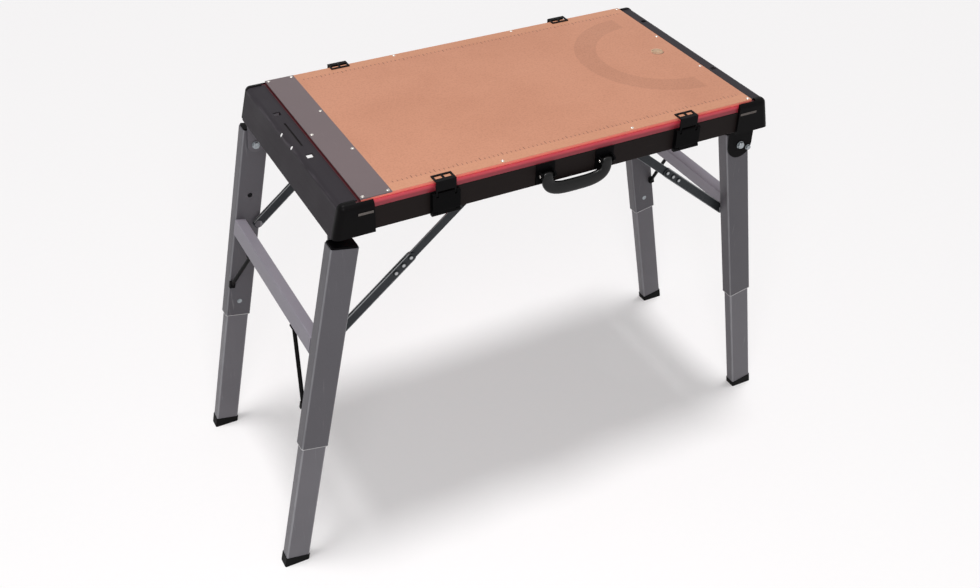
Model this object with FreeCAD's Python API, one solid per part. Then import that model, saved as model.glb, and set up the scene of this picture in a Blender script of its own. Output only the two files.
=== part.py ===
import FreeCAD, Part
import math
import os

V = FreeCAD.Vector
UP = V(0, 0, 1)
ALONG_X = V(1, 0, 0)
ALONG_Y = V(0, 1, 0)
ORIGIN = V(0, 0, 0)

# Clearances
slide_gap = 0.3
running_gap = 0.06
side_gap = 0.5

# Whole bench
bench_height = 920.0
lean_slope = 0.199

# Work top
board_length = 920.0
board_depth = 537.6
board_thick = 7.5
board_centre = 15.5
board_edge = 1.0
plate_width = 65.5
plate_thick = 2.5
finger_hole_radius = 14.0
finger_hole_from_right = 51.5
finger_hole_y = 19.0
screw_inset = 6.5
screw_head_radius = 3.6
screw_head_height = 1.4
screw_shank_radius = 1.5
screw_length = 5.5

# Deck and side rails
deck_thick = 15.5
flange_gap = 4.0
deck_lap = 6.0
deck_side_overhang = 2.0
deck_corner = 3.0
rail_height = 50.0
rail_width = 24.0
rail_wall = 2.0
rail_edge = 3.0
rail_proud = 3.2

# Sloping end rails
end_height = 72.5
end_slope = 0.24
end_thick = 2.5
end_bend = 12.0
end_inset = 11.0
left_flange = 40.9
right_flange = 32.5
left_hook_square = 15.0
right_hook_square = 11.0
bag_slot_width = 4.0
bag_slot_depth = 1.5
end_hole_radius = 5.0
left_hook_slots = (123.0, -69.0)
left_bag_slot = (-25.0, 78.0)
left_round_holes = (44.0, -15.0)
right_hook_slots = (183.0, -102.0)

# Corner caps
cap_proud = 6.0
cap_hang = 2.0
cap_rise = 2.0
cap_round = 13.0
cap_wall = 4.0
cap_ridge_height = 5.0
cap_ridge_proud = 1.0
cap_ridge_drop = 2.0
cap_ridge_inset = 3.0
left_cap_reach = 28.5
right_cap_reach = 39.5

# Hinge brackets and pivots
bracket_thick = 4.0
hinge_inset = 36.0
bracket_drop = 7.0
left_lobe = 18.0
right_lobe = 32.0
bracket_inset = 10.0
pivot_drop = 59.0
pivot_past_end = 0.5
pivot_radius = 5.0
bolt_head_radius = 9.0
bolt_head_height = 6.0
bolt_collar_radius = 8.5
stop_bolt_radius = 4.0
stop_bolt_head = 6.5
stop_bolt_height = 5.0
stop_nut_height = 4.0
stop_bolt_out = 23.0
stop_bolt_drop = 11.0

# Telescopic legs, measured along the leg from its pivot
leg_width = 61.0
leg_depth = 34.0
leg_wall = 3.0
leg_corner = 5.0
leg_above = 33.0
leg_below = 462.0
lane_gap = 5.0
inner_wall = 2.0
inner_corner = 3.5
inner_overlap = 130.0
leg_travel = 291.0
foot_height = 20.0
foot_width = 57.0
foot_depth = 30.0
foot_stem = 20.0
stem_corner = 2.0
plug_flange = 4.0
plug_stem = 15.0
plug_inset = 2.5
plug_corner = 3.0

# Lock buttons
lock_from_end = 41.0
lock_radius = 6.0
lock_dish_radius = 16.0
lock_dish = 0.8
inner_lock_radius = 7.0

# Stretchers and knee braces
stretcher_size = 26.0
stretcher_height = 40.0
stretcher_from = 192.0
stretcher_wall = 2.0
stretcher_edge = 3.0
brace_radius = 4.5
brace_inset = 6.5
brace_from_end = 94.0
left_brace_start = 140.0
right_brace_start = 100.0
brace_pad = 8.0

# Folding stays
stay_at = 202.3
stay_in = 23.9
stay_reach = 278.9
stay_drop = 22.0
stay_lower_share = 0.595
stay_stud_radius = 5.0
stay_collar_radius = 9.0
stay_head = 1.5
stay_wall = 1.8
stay_bar = 2.9
stay_space = 0.4
lower_half = 11.0
upper_half = 10.0
stay_web_from = 14.0
stay_web_to = 60.0
elbow_rivet_radius = 6.0
elbow_rivet_pitch = 22.0
elbow_rivet_count = 3

# Cross bars that carry the stays
cross_size = 30.0
cross_wall = 2.0
cross_edge = 3.0
cross_rise = 5.0
lug_half = 11.0
lug_thick = 5.6
lug_stud_head = 8.0

# Board catches
catch_from_end = 173.5
catch_half = 31.0
catch_plate = 2.0
catch_hang = 2.0
catch_hinge_rise = 2.0
catch_knuckle = 4.0
catch_pin = 2.5
lever_half = 30.0
lever_thick = 8.5
lever_edge = 3.0
lever_rise = 7.0
lever_top_drop = 1.0
lever_strap_lap = 4.0
hook_pivot_drop = 6.0
hook_pivot_out = 8.0
hook_half = 22.0
hook_wire = 1.8
hook_strip = 4.0
hook_thick = 2.4
hook_over = 13.8
hook_window = 12.0
hook_strap_rise = 9.0

# Carry handle
handle_from_centre = 11.0
handle_half = 83.5
handle_inner_half = 58.0
handle_foot_half = 64.0
handle_drop = 23.0
handle_pivot_out = 11.0
handle_half_thick = 7.0
handle_pin = 3.5
grip_depth = 54.0
finger_depth = 24.0
grip_slope_depth = 22.0
handle_edge = 3.0
handle_plate = 2.5
handle_plate_half = 22.0
handle_plate_margin = 4.0
handle_ear = 4.5

# Levels that follow from the bench height
board_bottom = bench_height - board_thick
deck_bottom = board_bottom - deck_thick
rail_top = deck_bottom
rail_bottom = rail_top - rail_height
end_top = board_bottom + end_thick
end_bottom = end_top - end_height
cap_bottom = rail_bottom - cap_hang
cap_top = end_top + cap_rise
bracket_top = rail_top - bracket_drop
pivot_height = rail_bottom - pivot_drop
cross_bottom = rail_bottom + cross_rise
stay_top_z = cross_bottom - stay_drop
catch_bottom = rail_bottom - catch_hang
catch_hinge_z = rail_bottom + catch_hinge_rise
lever_foot = rail_bottom + lever_rise
lever_top = rail_top - lever_top_drop
hook_pivot_z = rail_top - hook_pivot_drop
notch_floor = hook_pivot_z - hook_strip
handle_pivot_z = rail_top - handle_drop
grip_bottom = handle_pivot_z - grip_depth
grip_top = handle_pivot_z - finger_depth
grip_slope_top = handle_pivot_z - grip_slope_depth

# Places along the bench that follow from the board's ends
board_left = board_centre - board_length / 2
board_right = board_centre + board_length / 2
flange_left = board_left - flange_gap
flange_right = board_right + flange_gap
deck_left = flange_left - deck_lap
deck_right = flange_right + deck_lap
left_end = left_flange - flange_left
right_end = right_flange + flange_right
left_cap_inner = -flange_left - left_cap_reach
right_cap_inner = flange_right - right_cap_reach
pivot_x = left_end + pivot_past_end
stay_top_x = pivot_x - stay_reach
catch_spread = board_length / 2 - catch_from_end
handle_x = board_centre + handle_from_centre

# Places across the bench that follow from the board's depth
deck_half = board_depth / 2 + deck_side_overhang
rail_face = board_depth / 2 + rail_proud
end_half_span = rail_face - end_inset
hinge_face = rail_face - hinge_inset
bracket_face = hinge_face + bracket_thick
cap_face = rail_face + cap_proud
left_lane = bracket_face + side_gap + leg_depth / 2
right_lane = hinge_face - lane_gap - leg_depth / 2
catch_hinge_out = catch_plate + catch_knuckle + side_gap
hook_reach = board_depth / 2 - hook_over

# Places along the legs
lean = math.atan(lean_slope)
end_lean = math.atan(end_slope)
end_wall = end_thick / math.cos(end_lean)
foot_reach = pivot_x + lean_slope * pivot_height
leg_length = pivot_height / math.cos(lean)
inner_end = leg_length - foot_height
inner_top = leg_below - inner_overlap
lock_at = leg_below - lock_from_end
lower_hole_at = lock_at - leg_travel
brace_end = leg_below - brace_from_end
cavity_width = leg_width - 2 * leg_wall
cavity_depth = leg_depth - 2 * leg_wall
inner_width = cavity_width - 2 * slide_gap
inner_depth = cavity_depth - 2 * slide_gap

SIDES = ("left", "right")
ENDS = ("front", "back")
END_OF = {"left": left_end, "right": right_end}
LANE = {"left": left_lane, "right": right_lane}
CAP_INNER = {"left": left_cap_inner, "right": right_cap_inner}
DECK_END = {"left": -deck_left, "right": deck_right}
FLANGE_END = {"left": -flange_left, "right": flange_right}
LOBE = {"left": left_lobe, "right": right_lobe}
HOOK_SQUARE = {"left": left_hook_square, "right": right_hook_square}
HOOK_SLOTS = {"left": left_hook_slots, "right": right_hook_slots}
BRACE_START = {"left": left_brace_start, "right": right_brace_start}


# Basic shapes
def block(x0, x1, y0, y1, z0, z1):
    return Part.makeBox(x1 - x0, y1 - y0, z1 - z0, V(x0, y0, z0))


def rod(start, end, radius):
    return Part.makeCylinder(radius, (end - start).Length, start, end - start)


def plate(points, thickness_from, thickness_to):
    # Upright plate from an outline in x and z, thick along y
    corners = [V(x, thickness_from, z) for x, z in points]
    face = Part.Face(Part.makePolygon(corners + corners[:1]))
    return face.extrude(V(0, thickness_to - thickness_from, 0))


def bar(half, length, y0, y1):
    # Flat bar with round ends along x
    body = block(0, length, y0, y1, -half, half)
    for x in (0, length):
        body = body.fuse(rod(V(x, y0, 0), V(x, y1, 0), half))
    return body.removeSplitter()


def rounded(shape, radius, direction):
    # Round every straight edge that runs along one direction
    chosen = []
    for edge in shape.Edges:
        run = edge.Vertexes[-1].Point - edge.Vertexes[0].Point
        if run.Length > 0 and abs(run.normalize() * direction) > 0.999:
            chosen.append(edge)
    return shape.makeFillet(radius, chosen)


def joined(shapes):
    body = shapes[0]
    for shape in shapes[1:]:
        body = body.fuse(shape)
    return body.removeSplitter()


def group(shapes):
    return Part.makeCompound(shapes)


# Every corner piece is drawn at the back left and turned to its own corner
def corner(shape, side, end):
    if side == "right":
        shape = shape.mirror(ORIGIN, ALONG_X)
    if end == "front":
        shape = shape.mirror(ORIGIN, ALONG_Y)
    return shape


# Leg pieces are drawn upright at the origin and then leaned over at the pivot
def leaned(shape):
    moved = shape.copy()
    moved.rotate(ORIGIN, ALONG_Y, math.degrees(lean))
    moved.translate(V(-pivot_x, 0, pivot_height))
    return moved


def leg_block(n0, n1, y0, y1, a0, a1):
    return block(n0, n1, y0, y1, -a1, -a0)


def leg_tube(width, depth, wall, radius, lane, a0, a1):
    outer = leg_block(-width / 2, width / 2, lane - depth / 2, lane + depth / 2, a0, a1)
    outer = rounded(outer, radius, UP)
    w = width - 2 * wall
    d = depth - 2 * wall
    inner = leg_block(-w / 2, w / 2, lane - d / 2, lane + d / 2, a0 - 1, a1 + 1)
    inner = rounded(inner, radius - wall, UP)
    return outer.cut(inner)


# Work top
def screw_places():
    left = board_left + screw_inset
    seam = board_left + plate_width - screw_inset
    right = board_right - screw_inset
    edge = board_depth / 2 - screw_inset
    places = [(left, k * edge) for k in (-1, 0, 1)]
    places += [(seam, k * edge / 3) for k in (-3, -1, 1, 3)]
    places += [(right, k * edge / 3) for k in (-3, -1, 1, 3)]
    places += [(board_centre + k * board_length / 6, s * edge) for k in (-1, 1) for s in (-1, 1)]
    return places


def screw_holes(radius):
    bottom = bench_height - screw_length
    return group([rod(V(x, y, bottom), V(x, y, bench_height + 1), radius) for x, y in screw_places()])


def finger_hole():
    x = board_right - finger_hole_from_right
    low = V(x, finger_hole_y, deck_bottom - 1)
    return rod(low, V(x, finger_hole_y, bench_height + 1), finger_hole_radius)


def make_board():
    half = board_depth / 2
    board = block(board_left, board_right, -half, half, board_bottom, bench_height)
    board = rounded(board, board_edge, ALONG_X)
    rebate = block(board_left - 1, board_left + plate_width, -half - 1, half + 1,
                   bench_height - plate_thick, bench_height + 1)
    return board.cut(rebate).cut(finger_hole()).cut(screw_holes(screw_shank_radius))


def make_end_plate():
    half = board_depth / 2
    sheet = block(board_left, board_left + plate_width, -half, half,
                  bench_height - plate_thick, bench_height)
    return sheet.cut(screw_holes(screw_shank_radius))


def make_deck():
    deck = block(deck_left, deck_right, -deck_half, deck_half, deck_bottom, board_bottom)
    return rounded(deck, deck_corner, UP).cut(finger_hole())


def make_screw(x, y):
    top = bench_height + screw_head_height
    head = rod(V(x, y, bench_height), V(x, y, top), screw_head_radius)
    rim = [e for e in head.Edges if abs(e.BoundBox.ZMin - top) < 0.01 and len(e.Vertexes) == 1]
    head = head.makeFillet(screw_head_height * 0.6, rim[:1])
    return head.fuse(rod(V(x, y, bench_height - screw_length), V(x, y, bench_height), screw_shank_radius))


# Frame under the top
def end_x(side, z):
    return END_OF[side] + end_slope * (end_top - z)


def make_side_rail(end):
    x0 = -left_cap_inner
    x1 = right_cap_inner
    tube = block(x0, x1, rail_face - rail_width, rail_face, rail_bottom, rail_top)
    tube = rounded(tube, rail_edge, ALONG_X)
    hollow = block(x0 - 1, x1 + 1, rail_face - rail_width + rail_wall, rail_face - rail_wall,
                   rail_bottom + rail_wall, rail_top - rail_wall)
    return corner(tube.cut(hollow), "left", end)


def long_edges(rail, z, x_limit):
    # Edges along the end rail at one level, outside one place along the bench
    chosen = []
    for edge in rail.Edges:
        box = edge.BoundBox
        if box.YLength > end_half_span and abs(box.ZMin - z) < 0.01 and box.XMin < x_limit:
            chosen.append(edge)
    return chosen


def make_end_rail(side):
    t = end_thick
    low = end_x(side, end_bottom)
    inner = FLANGE_END[side]
    outline = [(-low, end_bottom), (-END_OF[side], end_top), (-inner, end_top), (-inner, end_top - t),
               (-end_x(side, end_top - t) + end_wall, end_top - t), (-low + end_wall, end_bottom)]
    rail = plate(outline, -end_half_span, end_half_span)
    rail = rail.makeFillet(end_bend - t, long_edges(rail, end_top - t, -inner - 1))
    rail = rail.makeFillet(end_bend, long_edges(rail, end_top, -inner - 1))
    for cut in end_rail_openings(side):
        rail = rail.cut(cut)
    return corner(rail, side, "back")


def end_rail_openings(side):
    # Square hook openings and, on the left, a bag groove and two round holes on the bend
    q = HOOK_SQUARE[side] / 2
    middle = -(END_OF[side] + FLANGE_END[side]) / 2
    low = end_top - end_bend
    high = end_top + 1
    cuts = [block(middle - q, middle + q, y - q, y + q, low, high) for y in HOOK_SLOTS[side]]
    if side == "right":
        return cuts
    w = bag_slot_width / 2
    y0, y1 = left_bag_slot
    cuts.append(block(middle - w, middle + w, y0, y1, end_top - bag_slot_depth, high))
    for y in left_round_holes:
        start = V(-END_OF[side] - end_bend, y, end_top + end_bend * 0.6)
        cuts.append(rod(start, start + V(end_bend * 1.8, 0, -end_bend * 1.8), end_hole_radius))
    return cuts


def cap_outline(side, inset, top):
    inner = CAP_INNER[side]
    return [(inset - end_x(side, cap_bottom), cap_bottom), (inset - end_x(side, top), top), (-inner, top),
            (-inner, cap_bottom)]


def make_cap(side, end):
    # Rounded shell outside the end rail's end, and a core that fills the corner under its bend
    step = FLANGE_END[side]
    inner = CAP_INNER[side]
    shell = plate(cap_outline(side, 0, cap_top), end_half_span, cap_face)
    left = end_x(side, cap_top)
    soft = []
    for edge in shell.Edges:
        box = edge.BoundBox
        at_corner = box.ZMax > cap_top - 0.01 and box.XMin < 0.01 - left and box.YMax > cap_face - 0.01
        if at_corner:
            soft.append(edge)
    shell = shell.makeFillet(cap_round, soft)
    core_top = end_top - end_thick
    core = plate(cap_outline(side, end_wall, core_top), bracket_face, end_half_span)
    bend = []
    for edge in core.Edges:
        box = edge.BoundBox
        if box.YLength > 1 and box.ZMin > core_top - 0.01 and box.XMax < -inner - 1:
            bend.append(edge)
    core = core.makeFillet(end_bend, bend)
    cap = shell.fuse(core)
    seat = block(-DECK_END[side] - slide_gap, 1 - inner, bracket_face - 1, deck_half + slide_gap,
                 deck_bottom, cap_top + 1)
    cap = cap.cut(seat)
    ridge_top = deck_bottom - cap_ridge_drop
    ridge = block(-step - 2 * cap_ridge_inset, -inner - cap_ridge_inset, cap_face - cap_ridge_proud,
                  cap_face + cap_ridge_proud, ridge_top - cap_ridge_height, ridge_top)
    cap = cap.fuse(ridge)
    hollow = block(-step + cap_wall, -inner - cap_wall, bracket_face + cap_wall, cap_face - cap_wall,
                   cap_bottom - 1, deck_bottom - cap_wall)
    return corner(cap.cut(hollow), side, end)


def make_bracket(side, end):
    r = LOBE[side]
    inner = CAP_INNER[side] + bracket_inset
    low = end_x(side, cap_bottom) - end_wall
    high = end_x(side, bracket_top) - end_wall
    body = plate([(-low, cap_bottom), (-high, bracket_top), (-inner, bracket_top), (-inner, cap_bottom)],
                 hinge_face, bracket_face)
    shoulder = min(low - side_gap, pivot_x + r)
    neck = plate([(-pivot_x - r, pivot_height), (-shoulder, cap_bottom + 1),
                  (-pivot_x + r, cap_bottom + 1), (-pivot_x + r, pivot_height)], hinge_face, bracket_face)
    lobe = rod(V(-pivot_x, hinge_face, pivot_height), V(-pivot_x, bracket_face, pivot_height), r)
    bracket = joined([body, neck, lobe])
    bracket = bracket.cut(rod(V(-pivot_x, 0, pivot_height), V(-pivot_x, cap_face, pivot_height),
                              pivot_radius + running_gap))
    if side == "right":
        x = -pivot_x - stop_bolt_out
        z = pivot_height - stop_bolt_drop
        bracket = bracket.cut(rod(V(x, 0, z), V(x, cap_face, z), stop_bolt_radius + running_gap))
    return corner(bracket, side, end)


def make_pivot_bolt(side, end):
    def on_pivot(y0, y1, radius):
        return rod(V(-pivot_x, y0, pivot_height), V(-pivot_x, y1, pivot_height), radius)

    if side == "left":
        bolt = on_pivot(hinge_face - bolt_head_height, left_lane, pivot_radius)
        bolt = bolt.fuse(on_pivot(hinge_face - bolt_head_height, hinge_face, bolt_head_radius))
        return corner(bolt, side, end)
    bolt = on_pivot(right_lane - leg_depth / 2, bracket_face + bolt_head_height, pivot_radius)
    bolt = bolt.fuse(on_pivot(bracket_face, bracket_face + bolt_head_height, bolt_head_radius))
    bolt = bolt.fuse(on_pivot(right_lane + leg_depth / 2 + slide_gap, hinge_face, bolt_collar_radius))
    return corner(bolt, side, end)


def make_stop_bolt(end):
    x = -pivot_x - stop_bolt_out
    z = pivot_height - stop_bolt_drop
    low = V(x, hinge_face - stop_nut_height, z)
    high = V(x, bracket_face + stop_bolt_height, z)
    shank = rod(low, high, stop_bolt_radius)
    head = rod(V(x, bracket_face, z), high, stop_bolt_head)
    nut = rod(low, V(x, hinge_face, z), stop_bolt_head)
    return corner(joined([shank, head, nut]), "right", end)


def make_pivot_bolts():
    bolts = [make_pivot_bolt(side, end) for side in SIDES for end in ENDS]
    bolts += [make_stop_bolt(end) for end in ENDS]
    return group(bolts)


# Folding stays: depths count inward from the leg's inner face
def stay_levels(side):
    face = LANE[side] - leg_depth / 2
    rivet = face - slide_gap
    wall = rivet - stay_head
    bar_out = wall - stay_wall - stay_space
    bar_in = bar_out - stay_bar
    inner = bar_in - stay_space - stay_wall
    return {"face": face, "rivet": rivet, "wall": wall, "bar_out": bar_out, "bar_in": bar_in, "inner": inner}


def stay_foot():
    return V(-pivot_x - stay_at * math.sin(lean) + stay_in * math.cos(lean), 0,
             pivot_height - stay_at * math.cos(lean) - stay_in * math.sin(lean))


stay_head_point = V(-stay_top_x, 0, stay_top_z)
stay_span = (stay_head_point - stay_foot()).Length
stay_angle = math.atan2(stay_top_z - stay_foot().z, -stay_top_x - stay_foot().x)
lower_length = stay_lower_share * stay_span
upper_length = stay_span - lower_length


def along_stay(shape, start):
    moved = shape.copy()
    moved.rotate(ORIGIN, ALONG_Y, -math.degrees(stay_angle))
    moved.translate(start)
    return moved


def make_lower_stay(side, end):
    level = stay_levels(side)
    outer = bar(lower_half, lower_length, level["wall"] - stay_wall, level["wall"])
    inner = bar(lower_half, lower_length, level["inner"], level["inner"] + stay_wall)
    web = block(stay_web_from, stay_web_to, level["inner"], level["wall"],
                -lower_half, stay_wall - lower_half)
    rivets = []
    for k in range(elbow_rivet_count):
        x = lower_length - k * elbow_rivet_pitch
        rivets.append(rod(V(x, level["wall"], 0), V(x, level["rivet"], 0), elbow_rivet_radius))
        rivets.append(rod(V(x, level["inner"], 0), V(x, level["inner"] - stay_head, 0), elbow_rivet_radius))
    stay = joined([outer, inner, web] + rivets)
    stay = stay.cut(rod(V(0, level["inner"] - 5, 0), V(0, level["face"], 0), stay_stud_radius + running_gap))
    return corner(along_stay(stay, stay_foot()), side, end)


def make_upper_stay(side, end):
    level = stay_levels(side)
    stay = bar(upper_half, upper_length, level["bar_in"], level["bar_out"])
    stay = stay.cut(rod(V(upper_length, level["bar_in"] - 5, 0), V(upper_length, level["face"], 0),
                        stay_stud_radius + running_gap))
    along = V(math.cos(stay_angle), 0, math.sin(stay_angle))
    return corner(along_stay(stay, stay_foot() + along * lower_length), side, end)


def make_cross_bar(side):
    x0 = -stay_top_x - cross_size / 2
    x1 = -stay_top_x + cross_size / 2
    half = rail_face - rail_width
    tube = block(x0, x1, -half, half, cross_bottom, cross_bottom + cross_size)
    tube = rounded(tube, cross_edge, ALONG_Y)
    w = cross_wall
    top = cross_bottom + cross_size
    tube = tube.cut(block(x0 + w, x1 - w, -half - 1, half + 1, cross_bottom + w, top - w))
    level = stay_levels(side)
    lug_out = level["bar_in"] - side_gap
    pieces = [tube]
    for end in ENDS:
        lug = block(-stay_top_x - lug_half, -stay_top_x + lug_half, lug_out - lug_thick, lug_out,
                    stay_top_z, cross_bottom)
        at = V(-stay_top_x, 0, stay_top_z)
        lug = lug.fuse(rod(at + V(0, lug_out - lug_thick, 0), at + V(0, lug_out, 0), lug_half))
        lug = lug.fuse(rod(at + V(0, lug_out, 0), at + V(0, level["wall"], 0), stay_stud_radius))
        stud_end = at + V(0, level["wall"], 0)
        lug = lug.fuse(rod(at + V(0, level["bar_out"] + stay_space, 0), stud_end, lug_stud_head))
        pieces.append(corner(lug, "left", end))
    return corner(joined(pieces), side, "back")


# Legs
def make_outer_leg(side, end):
    lane = LANE[side]
    leg = leg_tube(leg_width, leg_depth, leg_wall, leg_corner, lane, -leg_above, leg_below)
    far = lane if side == "left" else lane + leg_depth
    leg = leg.cut(rod(V(0, lane - leg_depth, 0), V(0, far, 0), pivot_radius + running_gap))
    for a in (lock_at, lower_hole_at):
        leg = leg.cut(rod(V(0, lane - leg_depth, -a), V(0, lane, -a), lock_radius + running_gap))
    level = stay_levels(side)
    at = V(stay_in, 0, -stay_at)
    head = level["inner"] - side_gap
    stud = rod(at + V(0, level["face"] + 1, 0), at + V(0, head - stay_head, 0), stay_stud_radius)
    collar = rod(at + V(0, level["face"] + 1, 0), at + V(0, level["wall"] + slide_gap, 0), stay_collar_radius)
    collar = collar.common(leg_block(-leg_width, leg_width / 2, 0, lane, 0, leg_below))
    cap = rod(at + V(0, head, 0), at + V(0, head - stay_head, 0), stay_collar_radius)
    leg = joined([leg, stud, collar, cap])
    return corner(leaned(leg), side, end)


def make_leg_plug(side, end):
    lane = LANE[side]
    w = leg_width / 2 - plug_inset
    d = leg_depth / 2 - plug_inset / 2
    flange = leg_block(-w, w, lane - d, lane + d, -leg_above - plug_flange, -leg_above)
    flange = rounded(flange, plug_corner, UP)
    sw = cavity_width / 2 - slide_gap
    sd = cavity_depth / 2 - slide_gap
    stem = leg_block(-sw, sw, lane - sd, lane + sd, -leg_above, plug_stem - leg_above)
    stem = rounded(stem, plug_corner, UP)
    return corner(leaned(flange.fuse(stem)), side, end)


def make_inner_leg(side, end):
    lane = LANE[side]
    leg = leg_tube(inner_width, inner_depth, inner_wall, inner_corner, lane, inner_top, inner_end)
    leg = leg.cut(rod(V(0, lane - leg_depth, -lock_at), V(0, lane, -lock_at), inner_lock_radius))
    return corner(leaned(leg), side, end)


def make_foot(side, end):
    lane = LANE[side]
    body = leg_block(-foot_width / 2, foot_width / 2, lane - foot_depth / 2, lane + foot_depth / 2,
                     inner_end, leg_length + foot_height)
    body = rounded(body, inner_corner, UP)
    sw = inner_width / 2 - inner_wall - slide_gap
    sd = inner_depth / 2 - inner_wall - slide_gap
    stem = leg_block(-sw, sw, lane - sd, lane + sd, inner_end - foot_stem, inner_end)
    stem = rounded(stem, stem_corner, UP)
    foot = leaned(body.fuse(stem))
    floor = block(-2 * foot_reach, 0, 0, 2 * lane, -leg_length, 0)
    return corner(foot.cut(floor), side, end)


def make_lock_button(side, end):
    # Dished button, flush in the leg's inner broad face
    face = LANE[side] - leg_depth / 2
    button = rod(V(0, face, -lock_at), V(0, face + leg_wall, -lock_at), lock_radius)
    dish = Part.makeSphere(lock_dish_radius, V(0, face + lock_dish - lock_dish_radius, -lock_at))
    return corner(leaned(button.cut(dish)), side, end)


def make_stretcher(side):
    half = LANE[side] - leg_depth / 2
    n0 = -leg_width / 2
    n1 = n0 + stretcher_size
    a1 = stretcher_from + stretcher_height
    w = stretcher_wall
    tube = leg_block(n0, n1, -half, half, stretcher_from, a1)
    tube = rounded(tube, stretcher_edge, ALONG_Y)
    tube = tube.cut(leg_block(n0 + w, n1 - w, -half - 1, half + 1, stretcher_from + w, a1 - w))
    return corner(leaned(tube), side, "back")


def make_knee_brace(side, end):
    face = LANE[side] - leg_depth / 2
    start = BRACE_START[side]
    n = brace_inset - leg_width / 2
    a0 = stretcher_from + stretcher_height
    p = brace_pad
    wide = brace_radius + p / 4
    top_pad = leg_block(n - wide, n + wide, start - p, start + p, a0, a0 + p / 2)
    end_pad = leg_block(n - wide, n + wide, face - p, face, brace_end - p, brace_end + p)
    brace = rod(V(n, start, -a0 - 1), V(n, face - p / 2, -brace_end), brace_radius)
    brace = brace.common(leg_block(-leg_width, leg_width, 0, face, a0, leg_below))
    return corner(leaned(joined([top_pad, end_pad, brace])), side, end)


# Board catches
def catch_x(side):
    return board_centre + (catch_spread if side == "right" else -catch_spread)


def make_catch_base(side, end):
    x = catch_x(side)
    out = rail_face + catch_hinge_out
    back = block(x - catch_half, x + catch_half, rail_face, rail_face + catch_plate, catch_bottom, rail_top)
    pin = rod(V(x - catch_half, out, catch_hinge_z), V(x + catch_half, out, catch_hinge_z), catch_pin)
    pieces = [back, pin]
    width = catch_half / 3
    for x0 in (x - catch_half, x + catch_half - width):
        pieces.append(rod(V(x0, out, catch_hinge_z), V(x0 + width, out, catch_hinge_z), catch_knuckle))
        pieces.append(block(x0, x0 + width, rail_face, out, catch_hinge_z - catch_knuckle,
                            catch_hinge_z + catch_knuckle))
    return corner(joined(pieces), "left", end)


def make_lever(side, end):
    x = catch_x(side)
    y0 = rail_face + catch_plate + side_gap
    y1 = y0 + lever_thick
    out = rail_face + catch_hinge_out
    h = lever_half
    body = block(x - h, x + h, y0, y1, lever_foot, lever_top)
    body = rounded(body, lever_edge, ALONG_X)
    for x0 in (x - hook_half, x + hook_half - hook_strip):
        x1 = x0 + hook_strip + side_gap
        body = body.cut(block(x0 - side_gap, x1, y0 - 1, y1 + 1, notch_floor, lever_top + 1))
    knuckle_half = catch_half - catch_half / 3 - side_gap
    knuckle = rod(V(x - knuckle_half, out, catch_hinge_z), V(x + knuckle_half, out, catch_hinge_z),
                  catch_knuckle)
    strap = block(x - knuckle_half, x + knuckle_half, out - catch_knuckle / 2, out + catch_knuckle,
                  catch_hinge_z, lever_foot + lever_strap_lap)
    lever = joined([body, knuckle, strap])
    lever = lever.cut(rod(V(x - catch_half, out, catch_hinge_z), V(x + catch_half, out, catch_hinge_z),
                          catch_pin + running_gap))
    at = rail_face + hook_pivot_out
    lever = lever.cut(rod(V(x - catch_half, at, hook_pivot_z), V(x + catch_half, at, hook_pivot_z),
                          hook_wire + running_gap))
    return corner(lever, "left", end)


def make_hook(side, end):
    x = catch_x(side)
    at = rail_face + hook_pivot_out
    z0 = bench_height + slide_gap
    z1 = z0 + hook_thick
    t = hook_thick / 2
    s = hook_strip
    h = hook_half
    top = block(x - h, x + h, hook_reach, at + t, z0, z1)
    for x0, x1 in ((x - h + s, x - s / 2), (x + s / 2, x + h - s)):
        top = top.cut(block(x0, x1, hook_reach + s, hook_reach + s + hook_window, z0 - 1, z1 + 1))
    strap = block(x - h, x + h, at - t, at + t, hook_pivot_z + hook_strap_rise, z1)
    pieces = [top, strap, rod(V(x - h, at, hook_pivot_z), V(x + h, at, hook_pivot_z), hook_wire)]
    for x0 in (x - h, x + h - s):
        pieces.append(block(x0, x0 + s, at - t, at + t, hook_pivot_z - s / 2, z1))
    return corner(joined(pieces), "left", end)


# Carry handle
def handle_axis(x0, x1, radius):
    y = rail_face + handle_pivot_out
    return rod(V(x0, y, handle_pivot_z), V(x1, y, handle_pivot_z), radius)


def make_handle():
    y = rail_face + handle_pivot_out
    t = handle_half_thick
    a = handle_half
    b = handle_inner_half
    f = handle_foot_half
    left = handle_x - a
    right = handle_x + a
    outline = [(left, handle_pivot_z), (left, grip_slope_top), (handle_x - f, grip_bottom),
               (handle_x + f, grip_bottom), (right, grip_slope_top), (right, handle_pivot_z),
               (handle_x + b, handle_pivot_z), (handle_x + b, grip_top), (handle_x - b, grip_top),
               (handle_x - b, handle_pivot_z)]
    body = plate(outline, y - t, y + t)
    soft = []
    for edge in body.Edges:
        box = edge.BoundBox
        if box.YLength < 0.01 and box.ZMax < handle_pivot_z - 0.01:
            soft.append(edge)
    body = body.makeFillet(handle_edge, soft)
    for x0, x1 in ((left, handle_x - b), (handle_x + b, right)):
        body = body.fuse(handle_axis(x0, x1, t))
    body = body.removeSplitter().cut(handle_axis(left - 1, right + 1, handle_pin + running_gap))
    return corner(body, "left", "front")


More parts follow.
